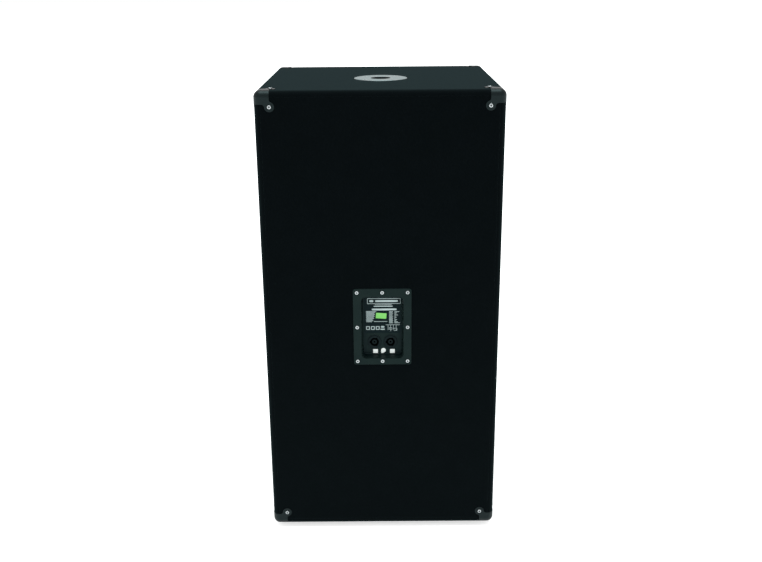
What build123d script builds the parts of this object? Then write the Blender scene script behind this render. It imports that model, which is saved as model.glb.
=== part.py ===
from build123d import *
from math import cos, radians, sin, tan
import os

# A tall bass cabinet for a public address system: a plywood box covered in needle felt, with
# plastic corner protectors, a pole socket in the top, two sockets in a recessed plate at the
# back, and two 15-inch drivers and two reflex ports behind a steel grille at the front.
# Millimetres. +Z is up, the grille faces -Y, the sockets face +Y. The origin is on the floor,
# under the middle of the whole object.

# ---- driving dimensions -------------------------------------------------------------------
WIDTH = 530.0  # over the corner protectors
DEPTH = 520.0
BODY_HEIGHT = 1036.0
GUARD_PROUD = 1.0  # the protectors stand this far out of the felt
FELT = 2.5
BOARD = 18.0
FLOOR_GAP = 10.0  # floor to the underside of the lower protectors
WOOD_RADIUS = 9.5  # rounding of the box's outer edges
FELT_RADIUS = 12.0
GUARD_RADIUS = 15.0

SCREW_HEAD_HEIGHT = 2.2
FLAP_LEG = 34.0  # a protector's flap, along the top
FLAP_DROP = 29.0  # and down the back or the side
LOBE_PLACE = 34.0  # screw lobe, measured in from both edges
LOBE_RADIUS = 10.5
NOTCH_RADIUS = 6.0  # rounding between a flap and its lobe

BAFFLE_RECESS = 28.0  # box front edge to baffle
DRIVER_RADIUS = 193.5
DRIVER_PITCH = 395.0
LOWER_DRIVER_Z = 423.0
BAFFLE_HOLE_RADIUS = 176.5
DRIVER_BOLT_RADIUS = 188.3

PORT_RADIUS = 50.0
PORT_WALL = 4.0
PORT_LENGTH = 170.0
PORT_FLANGE_RADIUS = 66.0
PORT_X = 110.0
PORT_Z = 131.5

POLE_X = -1.4
POLE_Y = 31.0
POLE_BORE_RADIUS = 18.0  # takes a 35 mm pole
POLE_BORE_LENGTH = 122.0
POLE_NECK_RADIUS = 22.0  # the cup's rim, inside the flange's hole
POLE_NECK_HEIGHT = 3.2
POLE_TUBE_RADIUS = 24.0
POLE_FLANGE_RADIUS = 61.0
POLE_FLANGE_THICK = 3.5
POLE_FLANGE_HOLE = 22.3
POLE_BOLT_RADIUS = 50.5

PLATE_X = -1.4
PLATE_Z = 519.6
PLATE_WIDTH = 131.0
PLATE_HEIGHT = 182.5
RECESS_Z = 517.2
RECESS_WIDTH = 95.0
RECESS_HEIGHT = 147.5
RECESS_RADIUS = 11.0
RECESS_DEPTH = 19.0
RECESS_DRAFT = 12.0  # degrees
PLATE_THICK = 2.5
PLATE_WALL = 2.5
GASKET_THICK = 1.5
PLATE_SCREW_X = 56.6
PLATE_SCREW_Z = 82.3
SOCKET_SPREAD = 18.2  # each side of the plate's middle
SOCKET_DROP = 42.6  # below the plate's middle
SOCKET_BORE_RADIUS = 10.0
SOCKET_CORE_RADIUS = 5.4
SOCKET_BARREL_RADIUS = 13.0
SOCKET_COLLAR_RADIUS = 15.5
SOCKET_COLLAR_HEIGHT = 1.4
SOCKET_BORE_DEPTH = 22.0
SOCKET_BODY_DEPTH = 34.0

FILTER_Y = 150.0
FILTER_BOARD = (200.0, 130.0, 6.0)
LEAD_RADIUS = 3.0
LEAD_OFFSET = 98.0  # beside the magnet, from the driver's axis
PAD_THICK = 20.0

HANDLE_Y = -20.0
HANDLE_Z = 740.0
HANDLE_OPENING = (150.0, 90.0)
HANDLE_DEPTH = 62.0
HANDLE_FLANGE = (186.0, 126.0)
HANDLE_FLANGE_THICK = 4.0
GRIP_RADIUS = 11.0

GRILLE_INSET = 6.0  # behind the front of the felt
GRILLE_GAP = 1.0
GRILLE_SHEET = 1.5
BLOCK_WIDTH = 20.0
BLOCK_HEIGHT = 32.0
BLOCK_MARGIN = 30.0

FOOT_X = 195.0
FOOT_Y = 190.0
FOOT_SEAT = 6.0  # depth of the hole that the foot's screw head sits in

# a driver, by depth behind the front of its flange
DRIVER_FLANGE = 6.0
SURROUND_STEP = 3.0  # the basket's step that the surround is glued to
ROLL_RADIUS = 171.5
COIL_INNER = 37.2
FORMER_RADIUS = 37.8
COIL_OUTER = 38.8
NECK_DEPTH = 84.0
SPIDER_DEPTH = 91.0
TOP_PLATE_DEPTH = 108.0
TOP_PLATE_THICK = 10.0
MAGNET_THICK = 24.0
BACK_PLATE_THICK = 10.0
MAGNET_RADIUS = 92.0
GAP_RADIUS = 39.5
POLE_PIECE_RADIUS = 36.5
DUST_CAP_RADIUS = 60.0

# ---- planes worked out from them ----------------------------------------------------------
SIDE_X = WIDTH / 2
REAR_Y = DEPTH / 2 - SCREW_HEAD_HEIGHT / 2
FRONT_Y = REAR_Y - DEPTH
LOW_Z = FLOOR_GAP
TOP_Z = FLOOR_GAP + BODY_HEIGHT
MID_Z = (LOW_Z + TOP_Z) / 2
MID_Y = (REAR_Y + FRONT_Y) / 2

GUARD_THICK = GUARD_PROUD + FELT
WOOD_X = SIDE_X - GUARD_THICK
WOOD_REAR_Y = REAR_Y - GUARD_THICK
WOOD_FRONT_Y = FRONT_Y + GUARD_THICK
WOOD_LOW_Z = LOW_Z + GUARD_THICK
WOOD_TOP_Z = TOP_Z - GUARD_THICK
INNER_X = WOOD_X - BOARD
INNER_REAR_Y = WOOD_REAR_Y - BOARD
INNER_LOW_Z = WOOD_LOW_Z + BOARD
INNER_TOP_Z = WOOD_TOP_Z - BOARD
FELT_FRONT_Y = FRONT_Y + GUARD_PROUD
FELT_LOW_Z = LOW_Z + GUARD_PROUD

BAFFLE_Y = WOOD_FRONT_Y + BAFFLE_RECESS
MOUTH_X = INNER_X - FELT
MOUTH_LOW_Z = INNER_LOW_Z + FELT
MOUTH_TOP_Z = INNER_TOP_Z - FELT
UPPER_DRIVER_Z = LOWER_DRIVER_Z + DRIVER_PITCH
DRIVER_Z = {"lower": LOWER_DRIVER_Z, "upper": UPPER_DRIVER_Z}
DRIVER_FRONT_Y = BAFFLE_Y - DRIVER_FLANGE
BRACE_Z = (LOWER_DRIVER_Z + UPPER_DRIVER_Z) / 2

PLATE_FACE_Y = WOOD_REAR_Y + GASKET_THICK + PLATE_THICK
RECESS_FLOOR_Y = PLATE_FACE_Y - RECESS_DEPTH
SOCKET_Z = PLATE_Z - SOCKET_DROP
INPUT_X = PLATE_X + SOCKET_SPREAD
LINK_X = PLATE_X - SOCKET_SPREAD
FILTER_TOP_Z = INNER_LOW_Z + FILTER_BOARD[2]
HANDLE_FACE_X = WOOD_X + HANDLE_FLANGE_THICK

GRILLE_FRONT_Y = FELT_FRONT_Y + GRILLE_INSET
BLOCK_X = MOUTH_X - GRILLE_GAP - GRILLE_SHEET - BLOCK_WIDTH / 2
BLOCK_LOW_Z = MOUTH_LOW_Z + BLOCK_MARGIN
BLOCK_PITCH = (MOUTH_TOP_Z - MOUTH_LOW_Z - 2 * BLOCK_MARGIN) / 3
BLOCK_HEIGHTS = [BLOCK_LOW_Z + n * BLOCK_PITCH for n in range(4)]

os.makedirs("parts", exist_ok=True)


# ---- helpers --------------------------------------------------------------------------------
def write(name, shape):
    export_step(shape, f"parts/{name}.step")


def slab(x0, x1, y0, y1, z0, z1):
    middle = Pos((x0 + x1) / 2, (y0 + y1) / 2, (z0 + z1) / 2)
    return middle * Box(x1 - x0, y1 - y0, z1 - z0)


def rounded_block(inset, radius):
    """The whole cabinet's box, set in from the protectors' planes, with every edge rounded."""
    block = slab(
        -SIDE_X + inset,
        SIDE_X - inset,
        FRONT_Y + inset,
        REAR_Y - inset,
        LOW_Z + inset,
        TOP_Z - inset,
    )
    return fillet(block.edges(), radius)


def group(solids):
    return Compound(children=list(solids))


def turned(points):
    """A closed outline of (radius, height) points, turned about the Z axis."""
    outline = Polyline(*[(r, 0, s) for r, s in points], close=True)
    return revolve(make_face(outline), Axis.Z)


def aim(part, point, direction):
    """Moves a part made along +Z so that its origin is at point and its +Z along direction."""
    return Plane(origin=point, z_dir=direction).location * part


def in_driver(part, z):
    """Moves a driver's piece, made with its depth along +Z, into the cabinet."""
    return Location((0, DRIVER_FRONT_Y, z)) * Rotation(-90, 0, 0) * part


def behind_plate(width, height, radius, y0, y1, z=PLATE_Z, draft=0.0):
    """A prism with rounded corners, from y1 in to y0, that draft makes smaller inward."""
    prism = extrude(RectangleRounded(width, height, radius), y1 - y0, taper=draft)
    return Pos(PLATE_X, y1, z) * Rotation(90, 0, 0) * prism


def around_dish(gap, y0, y1):
    """The prism that the plate's dish fits into, with a gap all round it."""
    grow = 2 * (PLATE_WALL + gap)
    wide, high = RECESS_WIDTH + grow, RECESS_HEIGHT + grow
    return behind_plate(wide, high, RECESS_RADIUS + PLATE_WALL, y0, y1, RECESS_Z)


def on_side(section, x0, x1):
    """A prism along X about the middle of the right handle."""
    frame = Plane(origin=(x0, HANDLE_Y, HANDLE_Z), x_dir=(0, 1, 0), z_dir=(1, 0, 0))
    return extrude(frame * section, x1 - x0)


# ---- screws ---------------------------------------------------------------------------------
def cross_recess(size, depth):
    bar = Pos(0, 0, -depth / 2) * Box(size, size / 2.6, depth)
    return bar + Rotation(0, 0, 90) * bar


def pan_screw(head_radius, head_height, shank_radius, length):
    """A round-headed screw: the head stands on z = 0 and the shank goes down from it."""
    head = Pos(0, 0, head_height / 2) * Cylinder(head_radius, head_height)
    head = fillet(head.edges().sort_by(Axis.Z)[-1], head_height * 0.75)
    shank = Pos(0, 0, -length / 2) * Cylinder(shank_radius, length)
    recess = Pos(0, 0, head_height) * cross_recess(head_radius * 1.1, head_height * 0.6)
    return head + shank - recess


def countersink(head_radius, shank_radius, length):
    """The space of a countersunk screw whose head is level with z = 0."""
    cone = head_radius - shank_radius
    return turned(
        [(0, 0), (head_radius, 0), (shank_radius, -cone), (shank_radius, -length), (0, -length)]
    )


def corner_screws():
    """Three screws in each rear protector, and two in each front one."""
    screw = pan_screw(4.4, SCREW_HEAD_HEIGHT, 1.9, 16.0)
    screws = []
    for sx in (-1, 1):
        for sy in (-1, 1):
            for sz in (-1, 1):
                x, y, z = sx * SIDE_X, MID_Y + sy * DEPTH / 2, MID_Z + sz * BODY_HEIGHT / 2
                ix, iy, iz = x - sx * LOBE_PLACE, y - sy * LOBE_PLACE, z - sz * LOBE_PLACE
                screws.append(aim(screw, (x, iy, iz), (sx, 0, 0)))
                screws.append(aim(screw, (ix, iy, z), (0, 0, sz)))
                if sy > 0:
                    screws.append(aim(screw, (ix, y, iz), (0, sy, 0)))
    return screws


def plate_screws():
    screw = pan_screw(4.2, 1.7, 1.8, 16.0)
    screws = []
    for i in (-1, 0, 1):
        for k in (-1, 0, 1):
            if i or k:
                x, z = PLATE_X + i * PLATE_SCREW_X, PLATE_Z + k * PLATE_SCREW_Z
                screws.append(aim(screw, (x, PLATE_FACE_Y, z), (0, 1, 0)))
    return screws


def on_flange(part):
    """Four of a part, on the pole flange's bolt circle."""
    reach = POLE_BOLT_RADIUS * cos(radians(45))
    top = WOOD_TOP_Z + POLE_FLANGE_THICK
    return [
        Pos(POLE_X + i * reach, POLE_Y + k * reach, top) * part for i in (-1, 1) for k in (-1, 1)
    ]


def flange_sinks():
    return on_flange(countersink(4.2, 2.0, 17.0))


def flange_screws():
    return on_flange(countersink(4.2, 2.0, 17.0) - cross_recess(4.6, 1.2))


def foot_screws():
    screw = pan_screw(5.0, 2.5, 2.2, 20.0)
    return [
        aim(screw, (i * FOOT_X, k * FOOT_Y, FOOT_SEAT), (0, 0, -1))
        for i in (-1, 1)
        for k in (-1, 1)
    ]


def handle_screws(side):
    screw = pan_screw(4.2, 1.7, 1.9, 18.0)
    return [
        aim(screw, (side * HANDLE_FACE_X, HANDLE_Y + 84.0 * i, HANDLE_Z + 54.0 * k), (side, 0, 0))
        for i in (-1, 0, 1)
        for k in (-1, 1)
    ]


def driver_screws(z):
    screw = pan_screw(4.4, 2.6, 2.4, 20.0)
    screws = []
    for n in range(8):
        turn = radians(22.5 + 45 * n)
        x, up = DRIVER_BOLT_RADIUS * cos(turn), DRIVER_BOLT_RADIUS * sin(turn)
        screws.append(aim(screw, (x, DRIVER_FRONT_Y, z + up), (0, -1, 0)))
    return screws


def grille_screws():
    screw = pan_screw(5.0, 2.4, 2.2, 36.0)
    return [
        aim(screw, (i * BLOCK_X, GRILLE_FRONT_Y, z), (0, -1, 0))
        for i in (-1, 1)
        for z in BLOCK_HEIGHTS
    ]


# ---- woodwork -------------------------------------------------------------------------------
def pole_clearance():
    middle = Pos(POLE_X, POLE_Y, WOOD_TOP_Z - BOARD / 2)
    return middle * Cylinder(POLE_TUBE_RADIUS + 0.5, BOARD + 2.0)


def handle_hole():
    wide, high = HANDLE_OPENING[0] + 7.0, HANDLE_OPENING[1] + 7.0
    return on_side(RectangleRounded(wide, high, 18.5), -SIDE_X, SIDE_X)


def panels(wood, screws):
    """The five outer boards, cut from the rounded block, with their holes and pilot holes."""
    big = 2000.0
    side = slab(INNER_X, big, -big, big, -big, big)
    between = slab(-INNER_X, INNER_X, -big, big, -big, big)
    boards = {
        "side_panel_right": wood & side,
        "side_panel_left": wood & mirror(side, Plane.YZ),
        "top_panel": wood & between & slab(-big, big, -big, big, INNER_TOP_Z, big),
        "bottom_panel": wood & between & slab(-big, big, -big, big, -big, INNER_LOW_Z),
        "rear_panel": wood & slab(-INNER_X, INNER_X, INNER_REAR_Y, big, INNER_LOW_Z, INNER_TOP_Z),
    }
    boards["side_panel_right"] -= handle_hole()
    boards["side_panel_left"] -= handle_hole()
    boards["top_panel"] -= pole_clearance()
    boards["rear_panel"] -= around_dish(0.5, INNER_REAR_Y - 1, WOOD_REAR_Y + 1)
    return {name: board - screws for name, board in boards.items()}


def baffle(screws):
    back = BAFFLE_Y + BOARD
    board = slab(-INNER_X, INNER_X, BAFFLE_Y, back, INNER_LOW_Z, INNER_TOP_Z)
    hole = Rotation(90, 0, 0) * Cylinder(BAFFLE_HOLE_RADIUS, BOARD * 3)
    port = Rotation(90, 0, 0) * Cylinder(PORT_RADIUS + PORT_WALL + 0.5, BOARD * 3)
    for z in DRIVER_Z.values():
        board -= Pos(0, BAFFLE_Y, z) * hole
    for x in (-PORT_X, PORT_X):
        board -= Pos(x, BAFFLE_Y, PORT_Z) * port
    return board - screws


def window_brace():
    """A board across the inside, between the drivers, with four rounded windows."""
    front = BAFFLE_Y + BOARD
    brace = slab(-INNER_X, INNER_X, front, INNER_REAR_Y, BRACE_Z - BOARD / 2, BRACE_Z + BOARD / 2)
    rim, bar = 24.0, 22.0
    wide = INNER_X - rim - bar
    long = (INNER_REAR_Y - front - 2 * rim - 2 * bar) / 2
    section = RectangleRounded(wide, long, 25.0)
    window = Pos(0, 0, BRACE_Z - BOARD) * extrude(section, 2 * BOARD)
    for i in (-1, 1):
        for y in (front + rim + long / 2, INNER_REAR_Y - rim - long / 2):
            brace -= Pos(i * (bar + wide / 2), y, 0) * window
    return brace


# ---- felt -----------------------------------------------------------------------------------
def mouth(y0, y1, grow=0.0):
    return slab(
        -MOUTH_X - grow,
        MOUTH_X + grow,
        y0,
        y1,
        MOUTH_LOW_Z - grow,
        MOUTH_TOP_Z + grow,
    )


def felt(wood, pockets):
    """The felt round the box, turned in over the front edges, and the sheet on its back."""
    cover = rounded_block(GUARD_PROUD, FELT_RADIUS) - wood
    cover -= mouth(FRONT_Y - 10, BAFFLE_Y)
    lining = mouth(WOOD_FRONT_Y, BAFFLE_Y, FELT) - mouth(WOOD_FRONT_Y - 1, BAFFLE_Y + 1)
    cover = (cover + lining) - pockets
    seam = FELT_RADIUS + 2.0
    sheet = slab(
        -SIDE_X + seam,
        SIDE_X - seam,
        WOOD_REAR_Y,
        REAR_Y,
        LOW_Z + seam,
        TOP_Z - seam,
    )
    return cover - sheet, cover & sheet


# ---- corner protectors ----------------------------------------------------------------------
def flap_outline(lobe, drop=FLAP_DROP):
    """A flap seen from outside: a rectangle with, where it is screwed, a round lobe."""
    outline = Pos(-FLAP_LEG / 2, -drop / 2) * Rectangle(FLAP_LEG, drop)
    if not lobe:
        return outline
    outline += Pos(-LOBE_PLACE, -LOBE_PLACE) * Circle(LOBE_RADIUS)
    inner = [v for v in outline.vertices() if min(abs(v.X), abs(v.Y)) > 1 and abs(v.X - v.Y) > 1]
    return fillet(inner, NOTCH_RADIUS)


def flap_prisms(rear_lobe):
    """The space that one protector's three flaps take up, at the rear upper right corner."""
    x, y, z = SIDE_X, REAR_Y, TOP_Z
    depth = GUARD_THICK + WOOD_RADIUS + 1.0
    top = Plane(origin=(x, y, z), x_dir=(1, 0, 0), z_dir=(0, 0, 1))
    side = Plane(origin=(x, y, z), x_dir=(0, 1, 0), z_dir=(1, 0, 0))
    rear = Plane(origin=(x, y, z), x_dir=(1, 0, 0), z_dir=(0, -1, 0))
    prisms = extrude(top * flap_outline(True, FLAP_LEG), -depth)
    prisms += extrude(side * flap_outline(True), -depth)
    prisms += extrude(rear * flap_outline(rear_lobe), depth)
    return prisms


def corner_names():
    for sy, where in ((1, "rear"), (-1, "front")):
        for sz, level in ((1, "upper"), (-1, "lower")):
            for sx, hand in ((1, "right"), (-1, "left")):
                yield f"corner_{where}_{level}_{hand}", sx, sy, sz


def mirrored(part, sx, sy, sz):
    if sx < 0:
        part = mirror(part, Plane.YZ)
    if sy < 0:
        part = mirror(part, Plane(origin=(0, MID_Y, 0), z_dir=(0, 1, 0)))
    if sz < 0:
        part = mirror(part, Plane(origin=(0, 0, MID_Z), z_dir=(0, 0, 1)))
    return part


def protectors(wood, screws):
    """Each protector as a solid, and the space it leaves in the felt."""
    shell = rounded_block(0, GUARD_RADIUS) - wood
    solids, spaces = {}, []
    for name, sx, sy, sz in corner_names():
        prisms = mirrored(flap_prisms(sy > 0), sx, sy, sz)
        guard = (shell & prisms) - mouth(FRONT_Y - 10, BAFFLE_Y)
        solids[name] = guard - screws
        spaces.append(prisms)
    return solids, spaces


# ---- feet -----------------------------------------------------------------------------------
def feet():
    top, seat, bore = FELT_LOW_Z, FOOT_SEAT, 2.4
    foot = turned([(bore, seat), (6.5, seat), (6.5, 0), (17, 0), (20, top), (bore, top)])
    return [Pos(i * FOOT_X, k * FOOT_Y, 0) * foot for i in (-1, 1) for k in (-1, 1)]


# ---- pole socket ----------------------------------------------------------------------------
def pole_flange(screws):
    thick = POLE_FLANGE_THICK
    plate = turned(
        [
            (POLE_FLANGE_HOLE, 0),
            (POLE_FLANGE_RADIUS, 0),
            (POLE_FLANGE_RADIUS, thick),
            (POLE_FLANGE_HOLE, thick),
        ]
    )
    rims = plate.edges().filter_by(GeomType.CIRCLE).group_by(Axis.Z)[-1]
    return Pos(POLE_X, POLE_Y, WOOD_TOP_Z) * fillet(rims, 1.2) - screws


def pole_tube():
    """A cup for the pole, closed at its lower end, whose neck stands in the flange's hole."""
    low = POLE_NECK_HEIGHT - POLE_BORE_LENGTH
    floor = low - 3.0
    cup = turned(
        [
            (0, floor),
            (POLE_TUBE_RADIUS, floor),
            (POLE_TUBE_RADIUS, 0),
            (POLE_NECK_RADIUS, 0),
            (POLE_NECK_RADIUS, POLE_NECK_HEIGHT),
            (POLE_BORE_RADIUS, POLE_NECK_HEIGHT),
            (POLE_BORE_RADIUS, low),
            (0, low),
        ]
    )
    return Pos(POLE_X, POLE_Y, WOOD_TOP_Z) * cup


# ---- terminal plate and what is behind it ---------------------------------------------------
def terminal_plate(screws):
    """A moulded plate with a dish sunk in it, and the two sockets' holes in the dish's floor."""
    face, floor, wall, grow = PLATE_FACE_Y, RECESS_FLOOR_Y, PLATE_WALL, 2 * PLATE_WALL
    plate = behind_plate(PLATE_WIDTH, PLATE_HEIGHT, 6.0, face - PLATE_THICK, face)
    plate = fillet(plate.faces().sort_by(Axis.Y)[-1].edges(), 1.5)
    sunk = (RECESS_Z, RECESS_DRAFT)
    wide, high, radius = RECESS_WIDTH + grow, RECESS_HEIGHT + grow, RECESS_RADIUS + wall
    dish = behind_plate(wide, high, radius, floor - wall, face - 0.5, *sunk)
    recess = behind_plate(RECESS_WIDTH, RECESS_HEIGHT, RECESS_RADIUS, floor, face, *sunk)
    recess = fillet(recess.faces().sort_by(Axis.Y)[0].edges(), 2.0)
    plate = plate + dish - recess
    mouth_rim = plate.faces().sort_by(Axis.Y)[-1].inner_wires()[0]
    plate = fillet(mouth_rim.edges(), 1.0)
    hole = Rotation(90, 0, 0) * Cylinder(SOCKET_BARREL_RADIUS, 20)
    for x in (INPUT_X, LINK_X):
        plate -= Pos(x, floor, SOCKET_Z) * hole
    return plate - screws


def terminal_gasket(screws):
    back, front = WOOD_REAR_Y, WOOD_REAR_Y + GASKET_THICK
    sheet = behind_plate(PLATE_WIDTH - 1, PLATE_HEIGHT - 1, 5.5, back, front)
    return sheet - around_dish(0.5, back - 1, front + 1) - screws


def socket(x):
    """A round locking loudspeaker socket: a collar, a keyed bore and a core with a hole."""
    collar = turned(
        [
            (0, 0),
            (SOCKET_COLLAR_RADIUS, 0),
            (SOCKET_COLLAR_RADIUS, 0.5),
            (SOCKET_COLLAR_RADIUS - 0.9, SOCKET_COLLAR_HEIGHT),
            (0, SOCKET_COLLAR_HEIGHT),
        ]
    )
    body = Pos(0, 0, -SOCKET_BODY_DEPTH / 2) * Cylinder(SOCKET_BARREL_RADIUS, SOCKET_BODY_DEPTH)
    bore_middle = Pos(0, 0, SOCKET_COLLAR_HEIGHT - SOCKET_BORE_DEPTH / 2)
    bore = bore_middle * Cylinder(SOCKET_BORE_RADIUS, SOCKET_BORE_DEPTH)
    core = Pos(0, 0, -SOCKET_BORE_DEPTH / 2) * Cylinder(SOCKET_CORE_RADIUS, SOCKET_BORE_DEPTH)
    core -= Cylinder(2.2, 16)
    shell = collar + body - bore
    for turn, wide in ((90, 4.4), (210, 3.2), (330, 3.2)):
        key = Rotation(0, 0, turn) * Pos(SOCKET_BORE_RADIUS, 0, 0) * Box(2.6, wide, 24)
        shell -= key
    for turn in (0, 90, 180, 270):
        tab = Pos(6.5, 0, -SOCKET_BODY_DEPTH - 4) * Box(0.8, 4.8, 8.4)
        shell += Rotation(0, 0, turn) * tab
    return aim(shell + core, (x, RECESS_FLOOR_Y, SOCKET_Z), (0, 1, 0))


def filter_board():
    return Pos(0, FILTER_Y, INNER_LOW_Z + FILTER_BOARD[2] / 2) * Box(*FILTER_BOARD)


def filter_coil():
    """A coil on a flanged bobbin, with an iron core through it."""
    flange, winding, core = 36.0, 32.0, 12.0
    outline = [
        (0, 0),
        (flange, 0),
        (flange, 2),
        (winding, 2),
        (winding, 38),
        (flange, 38),
        (flange, 40),
        (core, 40),
        (core, 46),
        (0, 46),
    ]
    return Pos(55, FILTER_Y, FILTER_TOP_Z) * turned(outline)


def filter_capacitors():
    radius, length = 14.0, 50.0
    can = Rotation(0, 90, 0) * Cylinder(radius, length)
    can = chamfer(can.edges().filter_by(GeomType.CIRCLE), 1.5)
    return [Pos(-62, FILTER_Y + y, FILTER_TOP_Z + radius) * can for y in (-38, 38)]


def bend_radii(points):
    """Each corner's arc, as large as its two runs allow."""
    radii = []
    for a, b, c in zip(points, points[1:], points[2:]):
        before, after = Vector(*b) - Vector(*a), Vector(*c) - Vector(*b)
        turn = radians(before.get_angle(after))
        radii.append(0.45 * min(before.length, after.length) / tan(turn / 2))
    return radii


def lead(points):
    path = FilletPolyline(*points, radius=bend_radii(points))
    return sweep(Plane(origin=path @ 0, z_dir=path % 0) * Circle(LEAD_RADIUS), path=path)


def speaker_leads():
    """The internal cables: socket to filter board, and filter board to each driver."""
    socket_back = RECESS_FLOOR_Y - SOCKET_BODY_DEPTH
    basket_y = DRIVER_FRONT_Y + 103.0
    low, high = LOWER_DRIVER_Z + LEAD_OFFSET, UPPER_DRIVER_Z - LEAD_OFFSET
    back = FILTER_Y - 20
    routes = [
        [
            (INPUT_X, socket_back, SOCKET_Z),
            (INPUT_X, socket_back - 50, SOCKET_Z),
            (5, FILTER_Y + 10, 300),
            (5, FILTER_Y + 10, FILTER_TOP_Z),
        ],
        [(-8, back, FILTER_TOP_Z), (-8, back, 250), (0, 60, low), (0, basket_y, low)],
        [
            (-24, back, FILTER_TOP_Z),
            (-24, back, 330),
            (-44, back - 15, 600),
            (0, 40, high),
            (0, basket_y, high),
        ],
    ]
    return [lead(route) for route in routes]


def damping_pads():
    """Pads of wadding on the inside of the sides and the back."""
    pads = []
    for z0, z1 in ((60, 600), (815, 1000)):
        side = slab(INNER_X - PAD_THICK, INNER_X, -100, INNER_REAR_Y - 10, z0, z1)
        pads += [side, mirror(side, Plane.YZ)]
    for z0, z1 in ((60, 400), (640, 1000)):
        pads.append(slab(-215, 215, INNER_REAR_Y - PAD_THICK, INNER_REAR_Y, z0, z1))
    return pads


# ---- a 15-inch driver, made with its axis along Z and its depth growing with Z --------------

def basket():
    """A cast frame: a flange, a tapered wall with eight windows, and a seat for the magnet."""
    body = turned(
        [
            (DRIVER_RADIUS, 0),
            (DRIVER_RADIUS, DRIVER_FLANGE),
            (175.5, DRIVER_FLANGE),
            (172, 24),
            (104.5, 88),
            (101, 94.5),
            (88, TOP_PLATE_DEPTH),
            (41, TOP_PLATE_DEPTH),
            (41, TOP_PLATE_DEPTH - 4),
            (80, TOP_PLATE_DEPTH - 4),
            (84, SPIDER_DEPTH),
            (97, SPIDER_DEPTH),
            (100.5, 86.5),
            (168.5, 23),
            (172, SURROUND_STEP),
            (183, SURROUND_STEP),
            (183, 0),
        ]
    )
    inner, outer, half = 98.0, 180.0, radians(16)
    wedge = make_face(
        Polyline(
            (inner * cos(half), -inner * sin(half)),
            (outer * cos(half), -outer * sin(half)),
            (outer * cos(half), outer * sin(half)),
            (inner * cos(half), inner * sin(half)),
            close=True,
        )
    )
    window = Pos(0, 0, 28) * extrude(wedge, 52)
    hole = Cylinder(2.8, 30)
    for n in range(8):
        body -= Rotation(0, 0, 45 * n) * window
        body -= Rotation(0, 0, 22.5 + 45 * n) * Pos(DRIVER_BOLT_RADIUS, 0, 0) * hole
    return body


def surround():
    """A rubber half roll between the cone's rim and the basket's step."""
    thick, outer, inner = 1.2, 8.0, 6.8
    face = SURROUND_STEP - thick
    edges = [
        Line((182.5, 0, face), (182.5, 0, SURROUND_STEP)),
        Line((182.5, 0, SURROUND_STEP), (ROLL_RADIUS + inner, 0, SURROUND_STEP)),
        ThreePointArc(
            (ROLL_RADIUS + inner, 0, SURROUND_STEP),
            (ROLL_RADIUS, 0, SURROUND_STEP - inner),
            (ROLL_RADIUS - inner, 0, SURROUND_STEP),
        ),
        Line((ROLL_RADIUS - inner, 0, SURROUND_STEP), (160, 0, SURROUND_STEP)),
        Line((160, 0, SURROUND_STEP), (160, 0, face)),
        Line((160, 0, face), (ROLL_RADIUS - outer, 0, face)),
        ThreePointArc(
            (ROLL_RADIUS - outer, 0, face),
            (ROLL_RADIUS, 0, face - outer),
            (ROLL_RADIUS + outer, 0, face),
        ),
        Line((ROLL_RADIUS + outer, 0, face), (182.5, 0, face)),
    ]
    return revolve(make_face(Curve() + edges), Axis.Z)


def cone_face(front_only=False):
    """Half the cone's section. With front_only, everything behind its front surface too."""
    rim, neck = 164.5, FORMER_RADIUS
    front = ThreePointArc(
        (neck, 0, NECK_DEPTH - 0.5), (96.9, 0, 39.9), (160.5, 0, SURROUND_STEP)
    )
    if front_only:
        edges = [
            front,
            Line((160.5, 0, SURROUND_STEP), (160.5, 0, 200)),
            Line((160.5, 0, 200), (neck, 0, 200)),
            Line((neck, 0, 200), (neck, 0, NECK_DEPTH - 0.5)),
        ]
        return make_face(Curve() + edges)
    edges = [
        front,
        Line((160.5, 0, SURROUND_STEP), (rim, 0, SURROUND_STEP)),
        Line((rim, 0, SURROUND_STEP), (rim, 0, SURROUND_STEP + 1.6)),
        ThreePointArc((rim, 0, SURROUND_STEP + 1.6), (98.8, 0, 42.1), (neck, 0, NECK_DEPTH + 2.5)),
        Line((neck, 0, NECK_DEPTH + 2.5), (neck, 0, NECK_DEPTH - 0.5)),
    ]
    return make_face(Curve() + edges)


def cone():
    return revolve(cone_face(), Axis.Z)


def dust_cap():
    """A domed cap, cut off where it meets the cone's front."""
    apex, rise, thick = 48.0, 18.0, 1.2
    radius = (DUST_CAP_RADIUS**2 + rise**2) / (2 * rise)
    middle = Pos(0, 0, apex + radius)
    shell = middle * Sphere(radius) - middle * Sphere(radius - thick)
    shell &= Pos(0, 0, apex) * Cylinder(DUST_CAP_RADIUS + 3, 2 * rise + 4)
    return shell - revolve(cone_face(front_only=True), Axis.Z)


def voice_coil():
    """A thin former with its winding, centred on the magnet's gap."""
    return turned(
        [
            (COIL_INNER, NECK_DEPTH - 0.5),
            (FORMER_RADIUS, NECK_DEPTH - 0.5),
            (FORMER_RADIUS, 102),
            (COIL_OUTER, 102),
            (COIL_OUTER, 124),
            (FORMER_RADIUS, 124),
            (FORMER_RADIUS, 126),
            (COIL_INNER, 126),
        ]
    )


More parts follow.
